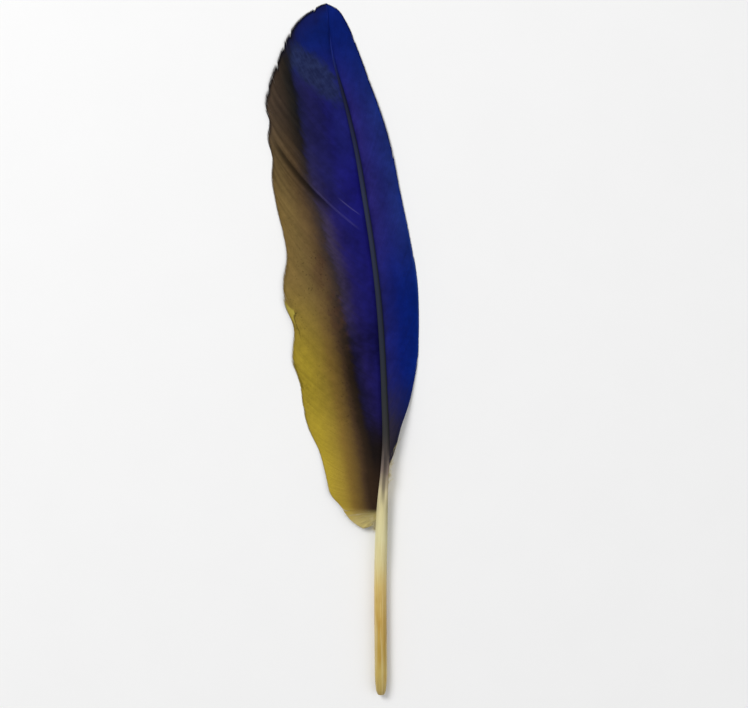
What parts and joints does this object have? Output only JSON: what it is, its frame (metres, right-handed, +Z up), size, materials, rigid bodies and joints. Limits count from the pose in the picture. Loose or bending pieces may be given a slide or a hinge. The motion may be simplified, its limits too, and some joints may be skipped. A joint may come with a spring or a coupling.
{
  "type": "macaw wing feather",
  "caption": "Long wing feather lying flat, with a bare round quill, an arched grooved shaft, a broad inner vane and a narrow outer vane, for decoration or display.",
  "frame": {"origin": "middle of the feather's box, on the surface it lies on", "axes": "+X across the feather towards the narrow outer vane, +Y along the shaft towards the tip, +Z up out of the blue upper side"},
  "size_m": [0.0628, 0.2804, 0.0079],
  "materials": {
    "barbs": "satin keratin barbs, ultramarine beside the shaft, brown to olive yellow towards the inner rim",
    "horn": "smooth translucent horn, slate grey along the blue vane and ivory to amber in the quill",
    "down": "loose pale yellow downy barbs"
  },
  "bodies": {
    "root": {"feather": "barbs"}
  },
  "joints": []
}
